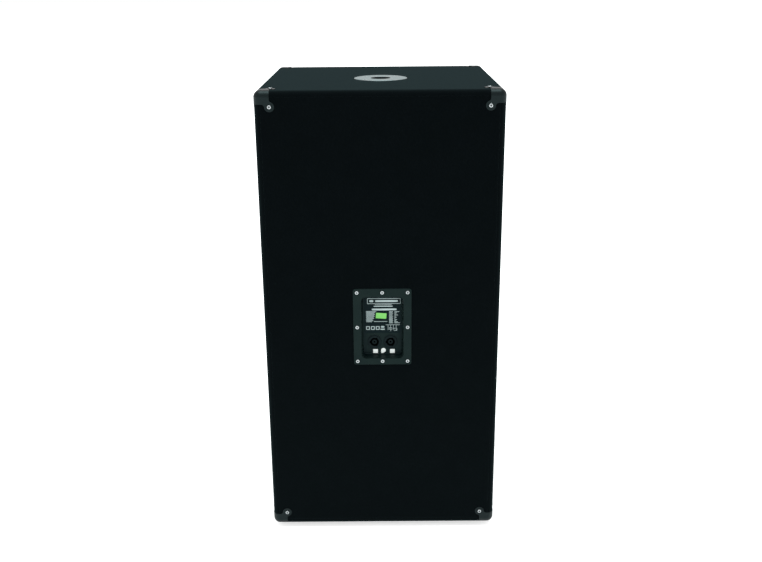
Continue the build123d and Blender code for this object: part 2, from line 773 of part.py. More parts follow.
def spider():
    """The corrugated disc that centres the coil, flat where it is glued."""
    thick, start, pitch, count, swell = 1.0, 47.0, 4.5, 8, 2.0
    lower, upper = [], []
    for n in range(count):
        r0 = start + n * pitch
        mid = swell if n % 2 == 0 else -swell
        for edges, s in ((lower, SPIDER_DEPTH), (upper, SPIDER_DEPTH - thick)):
            edges.append(ThreePointArc((r0, 0, s), (r0 + pitch / 2, 0, s + mid), (r0 + pitch, 0, s)))
    end, rim = start + count * pitch, 96.0
    for edges, s in ((lower, SPIDER_DEPTH), (upper, SPIDER_DEPTH - thick)):
        edges.append(Line((FORMER_RADIUS, 0, s), (start, 0, s)))
        edges.append(Line((end, 0, s), (rim, 0, s)))
    ends = [
        Line((r, 0, SPIDER_DEPTH), (r, 0, SPIDER_DEPTH - thick)) for r in (FORMER_RADIUS, rim)
    ]
    return revolve(make_face(Curve() + lower + upper + ends), Axis.Z)


def top_plate():
    back = TOP_PLATE_DEPTH + TOP_PLATE_THICK
    return turned(
        [(GAP_RADIUS, TOP_PLATE_DEPTH), (85, TOP_PLATE_DEPTH), (85, back), (GAP_RADIUS, back)]
    )


def magnet():
    front = TOP_PLATE_DEPTH + TOP_PLATE_THICK
    back = front + MAGNET_THICK
    ring = turned([(50, front), (MAGNET_RADIUS, front), (MAGNET_RADIUS, back), (50, back)])
    rims = ring.edges().filter_by(GeomType.CIRCLE).sort_by(SortBy.RADIUS)[-2:]
    return chamfer(rims, 1.5)


def back_plate():
    """The plate behind the magnet, with the pole piece and its vent."""
    front = TOP_PLATE_DEPTH + TOP_PLATE_THICK + MAGNET_THICK
    back = front + BACK_PLATE_THICK
    return turned(
        [
            (11, TOP_PLATE_DEPTH),
            (POLE_PIECE_RADIUS, TOP_PLATE_DEPTH),
            (POLE_PIECE_RADIUS, front),
            (88, front),
            (88, back - 3),
            (85, back),
            (11, back),
        ]
    )


DRIVER_PIECES = {
    "basket": basket,
    "surround": surround,
    "cone": cone,
    "dust_cap": dust_cap,
    "voice_coil": voice_coil,
    "spider": spider,
    "top_plate": top_plate,
    "magnet": magnet,
    "back_plate": back_plate,
}


# ---- ports ----------------------------------------------------------------------------------
def port(x):
    """A plastic tube with a flared mouth and a flange on the baffle's face."""
    outer = PORT_RADIUS + PORT_WALL
    tube = turned(
        [
            (PORT_RADIUS, -4),
            (PORT_FLANGE_RADIUS, -4),
            (PORT_FLANGE_RADIUS, 0),
            (outer, 0),
            (outer, PORT_LENGTH),
            (PORT_RADIUS, PORT_LENGTH),
        ]
    )
    lips = tube.edges().filter_by(GeomType.CIRCLE).group_by(Axis.Z)[0].sort_by(SortBy.RADIUS)
    tube = fillet(lips[0], 7.5)
    return Location((x, BAFFLE_Y, PORT_Z)) * Rotation(-90, 0, 0) * tube


# ---- grille ---------------------------------------------------------------------------------
def grille(screws):
    """A steel sheet with its four edges folded back to the baffle."""
    gap, sheet = GRILLE_GAP, GRILLE_SHEET
    tray = mouth(GRILLE_FRONT_Y, BAFFLE_Y, -gap)
    corners = tray.edges().filter_by(Axis.Y)
    tray = fillet(corners, 4.0)
    hollow = mouth(GRILLE_FRONT_Y + sheet, BAFFLE_Y + 1, -gap - sheet)
    hollow = fillet(hollow.edges().filter_by(Axis.Y), 4.0 - sheet)
    return tray - hollow - screws


def grille_blocks(screws):
    """Wooden blocks on the baffle that the grille is screwed against."""
    back, front = BAFFLE_Y, GRILLE_FRONT_Y + GRILLE_SHEET
    blocks = []
    for x in (-BLOCK_X, BLOCK_X):
        for z in BLOCK_HEIGHTS:
            block = slab(
                x - BLOCK_WIDTH / 2,
                x + BLOCK_WIDTH / 2,
                front,
                back,
                z - BLOCK_HEIGHT / 2,
                z + BLOCK_HEIGHT / 2,
            )
            blocks.append(block - screws)
    return blocks


# ---- handles --------------------------------------------------------------------------------
def handle(screws):
    """A moulded dish with a grip bar across it, for the right side."""
    face = HANDLE_FACE_X
    floor = face - HANDLE_DEPTH
    wall = 3.0
    wide, high = HANDLE_OPENING
    flange = on_side(RectangleRounded(*HANDLE_FLANGE, 22), WOOD_X, face)
    flange = fillet(flange.faces().sort_by(Axis.X)[-1].edges(), 1.5)
    dish = on_side(RectangleRounded(wide + 2 * wall, high + 2 * wall, 18), floor, WOOD_X + 1)
    dish = fillet(dish.faces().sort_by(Axis.X)[0].edges(), 8)
    hollow = on_side(RectangleRounded(wide, high, 15), floor + wall, face + 1)
    hollow = fillet(hollow.faces().sort_by(Axis.X)[0].edges(), 6)
    body = flange + dish - hollow
    bar = Pos(face - 16, HANDLE_Y, HANDLE_Z + 10) * Rotation(90, 0, 0)
    return body + bar * Cylinder(GRIP_RADIUS, wide + wall) - screws


# ---- pockets in the felt --------------------------------------------------------------------
def felt_pockets():
    """The places where a plate sits on the wood and the felt is cut away for it."""
    gap = 0.3
    pole = Pos(POLE_X, POLE_Y, WOOD_TOP_Z) * Cylinder(POLE_FLANGE_RADIUS + gap, 20)
    wide, high = PLATE_WIDTH + 2 * gap, PLATE_HEIGHT + 2 * gap
    plate = behind_plate(wide, high, 6.3, WOOD_REAR_Y - 1, REAR_Y + 5)
    section = RectangleRounded(HANDLE_FLANGE[0] + 2 * gap, HANDLE_FLANGE[1] + 2 * gap, 22.3)
    side = on_side(section, WOOD_X - 1, SIDE_X + 5)
    return [pole, plate, side, mirror(side, Plane.YZ)]


# ---- everything -----------------------------------------------------------------------------
def main():
    wood = rounded_block(GUARD_THICK, WOOD_RADIUS)
    corner, plate, flange = corner_screws(), plate_screws(), flange_sinks()
    foot, front = foot_screws(), grille_screws()
    right, left = handle_screws(1), handle_screws(-1)
    driver = driver_screws(LOWER_DRIVER_Z) + driver_screws(UPPER_DRIVER_Z)

    for name, board in panels(wood, corner + plate + flange + foot + right + left).items():
        write(name, board)
    write("front_baffle", baffle(driver + front))
    write("window_brace", window_brace())

    guards, spaces = protectors(wood, corner)
    for name, guard in guards.items():
        write(name, guard)
    wrap, back = felt(wood, spaces + felt_pockets() + foot)
    write("carpet_wrap", wrap)
    write("carpet_rear", back)

    write("rubber_feet", group(feet()))
    write("pole_flange", pole_flange(flange))
    write("pole_tube", pole_tube())
    write("terminal_plate", terminal_plate(plate))
    write("terminal_gasket", terminal_gasket(plate))
    write("socket_input", socket(INPUT_X))
    write("socket_link", socket(LINK_X))
    write("filter_board", filter_board())
    write("filter_coil", filter_coil())
    write("filter_capacitors", group(filter_capacitors()))
    write("speaker_leads", group(speaker_leads()))
    write("damping_pads", group(damping_pads()))

    for name, make in DRIVER_PIECES.items():
        piece = make()
        for level, z in DRIVER_Z.items():
            write(f"woofer_{level}_{name}", in_driver(piece, z))
    write("port_right", port(PORT_X))
    write("port_left", port(-PORT_X))
    write("grille", grille(front))
    write("grille_blocks", group(grille_blocks(front)))
    write("handle_right", handle(right))
    write("handle_left", mirror(handle(right), Plane.YZ))

    write("corner_screws", group(corner))
    write("terminal_screws", group(plate))
    write("pole_flange_screws", group(flange_screws()))
    write("foot_screws", group(foot))
    write("handle_screws", group(right + left))
    write("woofer_screws", group(driver))
    write("grille_screws", group(front))


main()
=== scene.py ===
from math import cos, hypot, pi, radians, sin, sqrt

import bmesh
import bpy
import numpy as np
from mathutils import Matrix, Vector, noise


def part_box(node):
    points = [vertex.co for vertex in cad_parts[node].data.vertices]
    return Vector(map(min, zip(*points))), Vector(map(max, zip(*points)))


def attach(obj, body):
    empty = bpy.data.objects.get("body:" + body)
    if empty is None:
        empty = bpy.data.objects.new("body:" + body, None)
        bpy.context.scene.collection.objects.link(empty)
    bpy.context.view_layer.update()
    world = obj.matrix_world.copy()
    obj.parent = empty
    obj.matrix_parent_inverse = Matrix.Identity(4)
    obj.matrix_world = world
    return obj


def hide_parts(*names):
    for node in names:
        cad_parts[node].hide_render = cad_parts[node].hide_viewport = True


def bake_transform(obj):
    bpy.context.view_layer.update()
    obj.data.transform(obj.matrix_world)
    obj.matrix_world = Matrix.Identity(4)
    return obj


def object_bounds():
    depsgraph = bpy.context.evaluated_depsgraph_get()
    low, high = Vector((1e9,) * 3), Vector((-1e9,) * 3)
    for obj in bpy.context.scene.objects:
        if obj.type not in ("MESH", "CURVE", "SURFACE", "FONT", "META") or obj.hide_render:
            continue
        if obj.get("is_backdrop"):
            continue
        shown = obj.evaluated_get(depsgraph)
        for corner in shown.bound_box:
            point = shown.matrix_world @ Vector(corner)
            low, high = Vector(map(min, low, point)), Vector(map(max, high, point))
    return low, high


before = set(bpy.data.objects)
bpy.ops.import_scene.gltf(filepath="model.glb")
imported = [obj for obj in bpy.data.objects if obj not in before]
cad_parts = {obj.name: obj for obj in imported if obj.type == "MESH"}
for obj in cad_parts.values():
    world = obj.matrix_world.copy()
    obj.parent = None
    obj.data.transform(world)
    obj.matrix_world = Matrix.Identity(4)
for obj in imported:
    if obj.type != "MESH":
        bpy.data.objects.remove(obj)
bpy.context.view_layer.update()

# The back of a tall, felt-covered bass cabinet in a white studio. Metres, in the frame's own
# axes: +Z up, the grille faces -Y and the sockets +Y.

MM = 0.001
scene = bpy.context.scene


# ---- camera, studio -------------------------------------------------------------------------
CAMERA_BEHIND = 1.9565  # metres from the plane of the back protectors
CAMERA_HEIGHT = 1.2795
CAMERA_ASIDE = -0.0034
CAMERA_DOWN = 18.39  # degrees, as are the next two
CAMERA_TURN = 0.127
CAMERA_ROLL = -0.474
LENS_MM = 44.08
SENSOR_MM = 36.0

BACK_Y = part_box("corner_rear_upper_right")[1].y


def make_camera():
    data = bpy.data.cameras.new("camera")
    data.sensor_width, data.lens = SENSOR_MM, LENS_MM
    camera = bpy.data.objects.new("camera", data)
    scene.collection.objects.link(camera)
    place = Matrix.Translation((CAMERA_ASIDE, BACK_Y + CAMERA_BEHIND, CAMERA_HEIGHT))
    turn = Matrix.Rotation(radians(180 + CAMERA_TURN), 4, "Z")
    tilt = Matrix.Rotation(radians(90 - CAMERA_DOWN), 4, "X")
    roll = Matrix.Rotation(radians(CAMERA_ROLL), 4, "Z")
    camera.matrix_world = place @ turn @ tilt @ roll
    scene.camera = camera


WORLD_LIGHT = 1.0
OVERHEAD_LIGHT = 2.2
OVERHEAD_SPREAD = 40.0  # degrees
OVERHEAD_COLOUR = (0.9, 1.0, 1.0)
FLOOR_GREY = 0.85
FLOOR_ROUGHNESS = 0.9
FLOOR_GLOW = 0.6
FLOOR_SIZE = 80.0


def make_studio():
    scene.view_settings.view_transform = "Standard"
    scene.view_settings.look = "None"
    world = bpy.data.worlds.new("studio")
    world.use_nodes = True
    background = world.node_tree.nodes["Background"].inputs
    background["Color"].default_value = (1, 1, 1, 1)
    background["Strength"].default_value = WORLD_LIGHT
    scene.world = world

    lamp = bpy.data.lights.new("overhead", "SUN")
    lamp.energy, lamp.angle = OVERHEAD_LIGHT, radians(OVERHEAD_SPREAD)
    lamp.color = OVERHEAD_COLOUR
    overhead = bpy.data.objects.new("overhead", lamp)
    scene.collection.objects.link(overhead)

    half = FLOOR_SIZE / 2
    mesh = bpy.data.meshes.new("floor")
    corners = [(-half, -half, 0), (half, -half, 0), (half, half, 0), (-half, half, 0)]
    mesh.from_pydata(corners, [], [(0, 1, 2, 3)])
    floor = bpy.data.objects.new("floor", mesh)
    scene.collection.objects.link(floor)
    material = bpy.data.materials.new("floor")
    material.use_nodes = True
    shader = material.node_tree.nodes["Principled BSDF"].inputs
    shader["Base Color"].default_value = (FLOOR_GREY, FLOOR_GREY, FLOOR_GREY, 1)
    shader["Roughness"].default_value = FLOOR_ROUGHNESS
    shader["Specular IOR Level"].default_value = 0.0
    shader["Emission Color"].default_value = (1, 1, 1, 1)
    shader["Emission Strength"].default_value = FLOOR_GLOW
    mesh.materials.append(material)
    floor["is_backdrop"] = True


make_camera()
make_studio()


# ---- materials ------------------------------------------------------------------------------
class Surface:
    """A Principled material whose colour, roughness and relief come from procedural nodes."""

    def __init__(self, name, **fixed):
        self.material = bpy.data.materials.new(name)
        self.material.use_nodes = True
        self.tree = self.material.node_tree
        self.shader = self.tree.nodes["Principled BSDF"]
        self.place = self.node("TexCoord").outputs["Object"]
        for socket, value in fixed.items():
            self.shader.inputs[socket.replace("_", " ")].default_value = value

    def node(self, kind, inputs=(), **settings):
        made = self.tree.nodes.new("ShaderNode" + kind)
        for key, value in settings.items():
            setattr(made, key, value)
        for key, value in dict(inputs).items():
            if isinstance(value, bpy.types.NodeSocket):
                self.tree.links.new(value, made.inputs[key])
            else:
                made.inputs[key].default_value = value
        return made

    def stretched(self, scale, turn=(0, 0, 0)):
        """The surface's place with each axis scaled, for grain that runs one way."""
        turned = {"Vector": self.place, "Rotation": turn, "Scale": scale}
        return self.node("Mapping", turned, vector_type="POINT").outputs[0]

    def noise(self, scale, detail=2.0, place=None, distortion=0.0):
        sockets = {"Vector": place or self.place, "Scale": scale, "Detail": detail}
        return self.node("TexNoise", {**sockets, "Distortion": distortion}).outputs["Fac"]

    def cells(self, scale):
        sockets = {"Vector": self.place, "Scale": scale}
        return self.node("TexVoronoi", sockets, feature="F1").outputs["Distance"]

    def ramp(self, value, low, high, start=0.0, end=1.0):
        """Value from low..high stretched over start..end, and held there."""
        sockets = {"Value": value, "From Min": low, "From Max": high}
        return self.node("MapRange", {**sockets, "To Min": start, "To Max": end}).outputs[0]

    def sum(self, first, second, operation="ADD"):
        """Two values added, or put together by another Math operation."""
        return self.node("Math", {0: first, 1: second}, operation=operation).outputs[0]

    def colour(self, amount, dark, light):
        mixed = self.node("Mix", {0: amount, 6: (*dark, 1), 7: (*light, 1)}, data_type="RGBA")
        self.tree.links.new(mixed.outputs[2], self.shader.inputs["Base Color"])

    def roughness(self, amount, low, high):
        """Roughness from low to high over the middle of a noise, where most of it lies."""
        spread = self.ramp(amount, 0.3, 0.7, low, high)
        self.tree.links.new(spread, self.shader.inputs["Roughness"])

    def painted_shade(self, tone, reach, closed=0.45):
        """Tone darkened with painted shade in hollows narrower than reach metres, where the light
        doesn't get.
        """
        sockets = {"Distance": reach}
        open_sky = self.node("AmbientOcclusion", sockets, samples=8).outputs["AO"]
        return self.sum(tone, self.ramp(open_sky, closed, 0.95), "MULTIPLY")

    def relief(self, height, depth, strength=1.0, edge=0.0):
        """Bump from height, with sharp edges rounded off for the light by edge metres."""
        sockets = {"Height": height, "Distance": depth, "Strength": strength}
        if edge:
            sockets["Normal"] = self.node("Bevel", {"Radius": edge}, samples=6).outputs[0]
        bump = self.node("Bump", sockets)
        self.tree.links.new(bump.outputs[0], self.shader.inputs["Normal"])


def felt(name, dark, light, sheen, pile=0.0004):
    """Needle felt: short matted fibres that lie every way, with a soft sheen along the pile."""
    made = Surface(
        name,
        Sheen_Weight=sheen,
        Sheen_Roughness=0.52,
        Sheen_Tint=(0.6, 0.95, 1.0, 1),
        Specular_IOR_Level=0.0,
    )
    fibres = None
    for turn in ((0.3, 0.8, 0.1), (1.2, 0.2, 0.9), (0.7, 1.5, 2.1)):
        strands = made.noise(1.0, 1.0, made.stretched((1500, 1500, 190), turn), 0.6)
        fibres = strands if fibres is None else made.sum(fibres, strands, "MAXIMUM")
    tufts = made.noise(420.0, 3.0)
    patches = made.noise(26.0, 4.0)
    height = made.sum(fibres, made.sum(tufts, 0.7, "MULTIPLY"))
    made.relief(height, pile, 0.55)
    even = made.ramp(patches, 0.3, 0.7, 0.6, 1.0)
    tone = made.sum(made.ramp(fibres, 0.45, 0.8), even, "MULTIPLY")
    made.colour(tone, dark, light)
    made.roughness(tufts, 0.9, 1.0)
    return made.material


def moulded(
    name, dark, light, rough, grain=900.0, depth=0.00005, specular=0.12, edge=0.0006, hollow=0.0
):
    """Moulded plastic or rubber: fine spark-eroded grain, faint flow marks and hand wear."""
    made = Surface(name, Specular_IOR_Level=specular, Specular_Tint=(0.68, 0.96, 1.0, 1))
    pebbles = made.cells(grain)
    wear = made.noise(30.0, 5.0)
    tone = made.ramp(wear, 0.35, 0.75)
    # painted shade: with a hollow reach the wear spans only the lightest quarter, and occlusion
    # darkens the tone in hollows
    if hollow:
        tone = made.painted_shade(made.ramp(wear, 0.35, 0.75, 0.75, 1.0), hollow)
    made.colour(tone, dark, light)
    made.roughness(wear, *rough)
    made.relief(made.sum(pebbles, made.noise(grain * 2.2, 2.0)), depth, 0.5, edge)
    return made.material


def metal(name, dark, light, rough, grain=700.0, depth=0.00002, edge=0.0004, hollow=0.0):
    """Plated, cast or rolled metal, darkened with painted shade in any hollow narrower than that
    many metres.
    """
    made = Surface(name, Metallic=1.0)
    grains = made.noise(grain, 4.0)
    tarnish = made.ramp(made.noise(45.0, 5.0), 0.3, 0.7)
    # painted shade: with a hollow reach the tarnish spans only 70 % to 100 % towards the light
    # colour, so the dark colour shows where occlusion darkens hollows
    tone = made.painted_shade(made.ramp(tarnish, 0.0, 1.0, 0.7, 1.0), hollow, 0.8) if hollow else tarnish
    made.colour(tone, dark, light)
    made.roughness(made.sum(grains, made.sum(tarnish, 0.5), "MULTIPLY"), *rough)
    made.relief(grains, depth, 0.4, edge)
    return made.material


def painted(name, dark, light, rough, peel=260.0, depth=0.00006, specular=0.35):
    """Paint or powder coat: orange peel over fine specks."""
    made = Surface(name, Specular_IOR_Level=specular)
    skin = made.noise(peel, 3.0)
    made.colour(made.ramp(made.noise(60.0, 5.0), 0.3, 0.7), dark, light)
    made.roughness(skin, *rough)
    made.relief(made.sum(skin, made.noise(2600.0, 1.0)), depth, 0.5, 0.0005)
    return made.material


def wood(name, dark, light):
    """Birch ply: long grain on the faces and thin stripes of veneer on the edges."""
    made = Surface(name, Specular_IOR_Level=0.3)
    grain = made.noise(55.0, 6.0, made.stretched((1, 1, 0.06)), 1.2)
    pores = made.noise(900.0, 3.0, made.stretched((1, 1, 0.05)))
    tone = made.sum(grain, made.sum(pores, 0.25, "MULTIPLY"))
    made.colour(made.ramp(tone, 0.4, 0.85), dark, light)
    made.roughness(grain, 0.55, 0.8)
    made.relief(pores, 0.0001, 0.4, 0.0004)
    return made.material


def wound(name, dark, light, wire=0.0011):
    """Enamelled wire laid turn by turn along Z."""
    made = Surface(name, Metallic=1.0)
    sockets = {"Vector": made.place, "Scale": 1.0 / wire / 2, "Distortion": 0.3}
    turns = made.node("TexWave", sockets, bands_direction="Z").outputs["Fac"]
    made.colour(made.ramp(turns, 0.1, 0.9), dark, light)
    made.roughness(made.noise(200.0), 0.25, 0.45)
    made.relief(turns, 0.0003, 0.8)
    return made.material


def pulp(name, dark, light):
    """Pressed paper with matted fibres and a dull coating."""
    made = Surface(name, Specular_IOR_Level=0.25)
    fibres = made.noise(700.0, 6.0, made.stretched((1, 1, 0.35)), 1.5)
    made.colour(made.ramp(fibres, 0.35, 0.7), dark, light)
    made.roughness(fibres, 0.55, 0.8)
    made.relief(fibres, 0.00015, 0.6)
    return made.material


def woven(name, dark, light, pitch=0.0009):
    """A plain weave, worked out from two crossed sets of threads."""
    made = Surface(name, Specular_IOR_Level=0.2)
    threads = []
    for direction in ("X", "Z"):
        sockets = {"Vector": made.place, "Scale": 0.5 / pitch, "Distortion": 0.2}
        threads.append(made.node("TexWave", sockets, bands_direction=direction).outputs["Fac"])
    weave = made.sum(*threads, "MAXIMUM")
    made.colour(made.ramp(weave, 0.2, 0.9), dark, light)
    made.roughness(made.noise(120.0), 0.7, 0.9)
    made.relief(weave, 0.0002, 0.7)
    return made.material


def grey(level, cast=(0.72, 0.97, 1.0)):
    """A dark grey with the cool cast that the whole cabinet has."""
    return tuple(level * part for part in cast)


FELT_CAST = (0.55, 0.8, 1.0)
PLASTIC_CAST = (0.5, 0.93, 1.0)
JET = (0.001, 0.001, 0.001)

MATERIALS = {
    "felt": felt("needle_felt", grey(0.0012, FELT_CAST), grey(0.0036, FELT_CAST), 0.06),
    "corner_plastic": moulded(
        "corner_plastic",
        grey(0.001, PLASTIC_CAST),
        grey(0.003, PLASTIC_CAST),
        (0.34, 0.44),
        specular=0.2,
    ),
    # painted shade darkens the plate's recess walls and corners
    "plate_plastic": moulded(
        "plate_plastic",
        (0.001, 0.004, 0.005),
        (0.0065, 0.0125, 0.0115),
        (0.22, 0.32),
        specular=0.06,
        hollow=0.02,
    ),
    # painted shade darkens the sockets' bores
    "socket_plastic": moulded(
        "socket_plastic",
        JET,
        (0.005, 0.009, 0.01),
        (0.3, 0.42),
        1400.0,
        specular=0.06,
        hollow=0.008,
    ),
    "handle_plastic": moulded("handle_plastic", grey(0.008), grey(0.013), (0.4, 0.55), 700.0),
    "port_plastic": moulded("port_plastic", grey(0.008), grey(0.012), (0.35, 0.5), 800.0),
    "foot_rubber": moulded("foot_rubber", grey(0.012), grey(0.02), (0.7, 0.85), 1200.0),
    "surround_rubber": moulded(
        "surround_rubber", grey(0.01), grey(0.015), (0.45, 0.6), 1500.0, edge=0
    ),
    "lead_jacket": moulded("lead_jacket", (0.02, 0.02, 0.02), (0.03, 0.03, 0.03), (0.45, 0.6)),
    "capacitor_film": moulded(
        "capacitor_film", (0.6, 0.42, 0.05), (0.72, 0.52, 0.08), (0.2, 0.35)
    ),
    # painted shade darkens the screws' cross recesses
    "screw_steel": metal(
        "screw_steel", (0.01, 0.01, 0.01), (0.52, 0.56, 0.57), (0.22, 0.36), hollow=0.006
    ),
    "black_screw": metal("black_screw", (0.03, 0.03, 0.033), (0.06, 0.06, 0.065), (0.3, 0.45)),
    # painted shade darkens the flange in the narrow gaps at its hole and edge
    "flange_metal": metal(
        "flange_metal", (0.02, 0.03, 0.03), (0.19, 0.265, 0.275), (0.3, 0.44), hollow=0.006
    ),
    "tube_steel": painted("tube_steel", JET, (0.003, 0.003, 0.003), (0.7, 0.85), specular=0.0),
    "basket_metal": metal(
        "basket_metal", (0.03, 0.03, 0.03), (0.06, 0.06, 0.06), (0.4, 0.6), depth=0.0001
    ),
    "motor_steel": metal("motor_steel", (0.35, 0.35, 0.36), (0.5, 0.5, 0.52), (0.3, 0.5)),
    "magnet_ferrite": painted(
        "magnet_ferrite", (0.03, 0.03, 0.032), (0.05, 0.05, 0.053), (0.55, 0.75)
    ),
    "grille_steel": painted("grille_steel", grey(0.012), grey(0.02), (0.3, 0.42)),
    "baffle_paint": painted("baffle_paint", grey(0.01), grey(0.016), (0.6, 0.8), 120.0, 0.0002),
    "board_fibre": painted("board_fibre", (0.16, 0.1, 0.04), (0.24, 0.15, 0.07), (0.5, 0.7)),
    "plywood": wood("plywood", (0.38, 0.24, 0.12), (0.66, 0.48, 0.28)),
    "coil_copper": wound("coil_copper", (0.35, 0.1, 0.03), (0.85, 0.36, 0.14)),
    "coil_former": wound("coil_former", (0.45, 0.3, 0.1), (0.8, 0.62, 0.3), 0.0005),
    "cone_paper": pulp("cone_paper", grey(0.012), grey(0.03)),
    "spider_cloth": woven("spider_cloth", (0.4, 0.28, 0.12), (0.62, 0.48, 0.26)),
    "gasket_foam": moulded(
        "gasket_foam", (0.01, 0.01, 0.01), (0.02, 0.02, 0.02), (0.85, 1.0), 2000.0
    ),
    "damping_felt": felt("wadding", (0.25, 0.25, 0.26), (0.5, 0.5, 0.52), 0.3, 0.002),
}
PRINT_GRAIN = 2500.0
STICKER_WHITE = moulded(
    "sticker_paper", (0.72, 0.76, 0.74), (0.82, 0.85, 0.83), (0.5, 0.6), PRINT_GRAIN
)
STICKER_GREEN = moulded(
    "sticker_green", (0.15, 0.46, 0.1), (0.22, 0.58, 0.15), (0.45, 0.55), PRINT_GRAIN
)
LABEL_INK = moulded(
    "label_ink", (0.3, 0.37, 0.37), (0.44, 0.53, 0.53), (0.5, 0.6), PRINT_GRAIN
)
LABEL_FILM = moulded(
    "label_film",
    (0.0015, 0.005, 0.006),
    (0.002, 0.0065, 0.0075),
    (0.3, 0.4),
    PRINT_GRAIN,
    specular=0.06,
    edge=0,
)

NODE_SLOTS = {
    "plywood": ("side_panel", "top_panel", "bottom_panel", "rear_panel", "window_brace"),
    "baffle_paint": ("front_baffle", "grille_blocks"),
    "felt": ("carpet_",),
    "corner_plastic": ("corner_rear", "corner_front"),
    "screw_steel": ("corner_screws", "terminal_screws", "pole_flange_screws"),
    "black_screw": ("foot_screws", "handle_screws", "woofer_screws", "grille_screws"),
    "foot_rubber": ("rubber_feet",),
    "flange_metal": ("pole_flange",),
    "tube_steel": ("pole_tube",),
    "plate_plastic": ("terminal_plate",),
    "socket_plastic": ("socket_",),
    "gasket_foam": ("terminal_gasket",),
    "board_fibre": ("filter_board",),
    "coil_copper": ("filter_coil",),
    "capacitor_film": ("filter_capacitors",),
    "lead_jacket": ("speaker_leads",),
    "damping_felt": ("damping_pads",),
    "port_plastic": ("port_",),
    "grille_steel": ("grille",),
    "handle_plastic": ("handle_",),
}
DRIVER_SLOTS = {
    "basket": "basket_metal",
    "surround": "surround_rubber",
    "cone": "cone_paper",
    "dust_cap": "cone_paper",
    "voice_coil": "coil_former",
    "spider": "spider_cloth",
    "top_plate": "motor_steel",
    "magnet": "magnet_ferrite",
    "back_plate": "motor_steel",
}


def slot_of(node):
    """The slot whose longest name start fits the node."""
    for level in ("woofer_upper_", "woofer_lower_"):
        if node.startswith(level):
            return DRIVER_SLOTS[node[len(level):]]
    fitting = [
        (len(start), slot)
        for slot, starts in NODE_SLOTS.items()
        for start in starts
        if node.startswith(start)
    ]
    return max(fitting)[1]


def finish_cad_nodes():
    for name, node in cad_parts.items():
        node.data.materials.clear()
        node.data.materials.append(MATERIALS[slot_of(name)])


finish_cad_nodes()


# ---- building pieces ------------------------------------------------------------------------
def piece(name, points, faces, material, body="cabinet", sharp=40.0):
    """A mesh object. Edges over sharp degrees stay crisp, and with body None it is attached to no
    body.
    """
    mesh = bpy.data.meshes.new(name)
    mesh.from_pydata([tuple(map(float, p)) for p in points], [], faces)
    mesh.materials.append(material)
    mesh.shade_smooth()
    if sharp:
        mesh.set_sharp_from_angle(angle=radians(sharp))
    made = bpy.data.objects.new(name, mesh)
    scene.collection.objects.link(made)
    if body:
        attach(made, body)
    return made


def lattice(rows, columns, closed=False):
    """Quads between rows of points. Closed joins each row's last point to its first."""
    faces = []
    for i in range(rows - 1):
        for j in range(columns if closed else columns - 1):
            here, above = i * columns, (i + 1) * columns
            k = (j + 1) % columns
            faces.append((here + j, here + k, above + k, above + j))
    return faces


def remove_faces(made, inside):
    """Opens a hole where inside(face centre) is true."""
    sheet = bmesh.new()
    sheet.from_mesh(made.data)
    gone = [f for f in sheet.faces if inside(f.calc_center_median())]
    bmesh.ops.delete(sheet, geom=gone, context="FACES")
    sheet.to_mesh(made.data)
    sheet.free()


def outward(made):
    """Turns the faces outward."""
    sheet = bmesh.new()
    sheet.from_mesh(made.data)
    bmesh.ops.recalc_face_normals(sheet, faces=sheet.faces)
    sheet.to_mesh(made.data)
    sheet.free()


def thicken(made, thickness):
    """Gives a sheet its thickness, inward from its outer face."""
    solid = made.modifiers.new("thickness", "SOLIDIFY")
    solid.thickness, solid.offset = thickness, -1.0
    solid.use_even_offset = True


# ---- felt -----------------------------------------------------------------------------------
WRAP_LOW, WRAP_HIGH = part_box("carpet_wrap")
BACK_LOW, BACK_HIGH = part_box("carpet_rear")
GRILLE_LOW, GRILLE_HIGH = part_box("grille")
FELT_THICK = BACK_HIGH.y - BACK_LOW.y
FELT_RADIUS = 12 * MM  # round the box's edges
FELT_STEP = 6 * MM  # between the mesh's points
GRILLE_GAP = 1 * MM
MOUTH_INSET = WRAP_HIGH.x - GRILLE_HIGH.x - GRILLE_GAP  # where the front opening starts
MOUTH_ROUND = 4 * MM
SEAM_INSET = WRAP_HIGH.x - BACK_HIGH.x  # where the wrap meets the felt on the back
SEAM_ROUND = 0.6 * MM
LEAST_RADIUS = 0.05 * MM
BAFFLE_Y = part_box("front_baffle")[0].y


def arc(steps, start=0.0, end=90.0):
    """Angles in radians, evenly spaced between two in degrees."""
    return [radians(start + (end - start) * n / steps) for n in range(steps + 1)]


def steps_between(start, end, step=FELT_STEP):
    """Evenly spaced values from start to end, about step apart."""
    count = max(1, round(abs(end - start) / step))
    return [start + (end - start) * n / count for n in range(count + 1)]


def wrap_profile():
    """(inset, y) from the seam at the back, along the sides and round the front to the baffle."""
    back, front, r, s = WRAP_HIGH.y, WRAP_LOW.y, FELT_RADIUS, SEAM_ROUND
    line = [(SEAM_INSET + s / 2, back - s), (SEAM_INSET, back - s)]
    line.append((SEAM_INSET - s / 3, back - s / 4))
    line += [(r - r * sin(a), back - r * (1 - cos(a))) for a in arc(8)]
    line += [(0.0, y) for y in steps_between(back - r, front + r)[1:-1]]
    line += [(r - r * cos(a), front + r - r * sin(a)) for a in arc(8)]
    inner, m = MOUTH_INSET, MOUTH_ROUND
    line += [(inner - m + m * sin(a), front + m - m * cos(a)) for a in arc(4)]
    line += [(inner, y) for y in steps_between(front + m, BAFFLE_Y)[1:]]
    return line


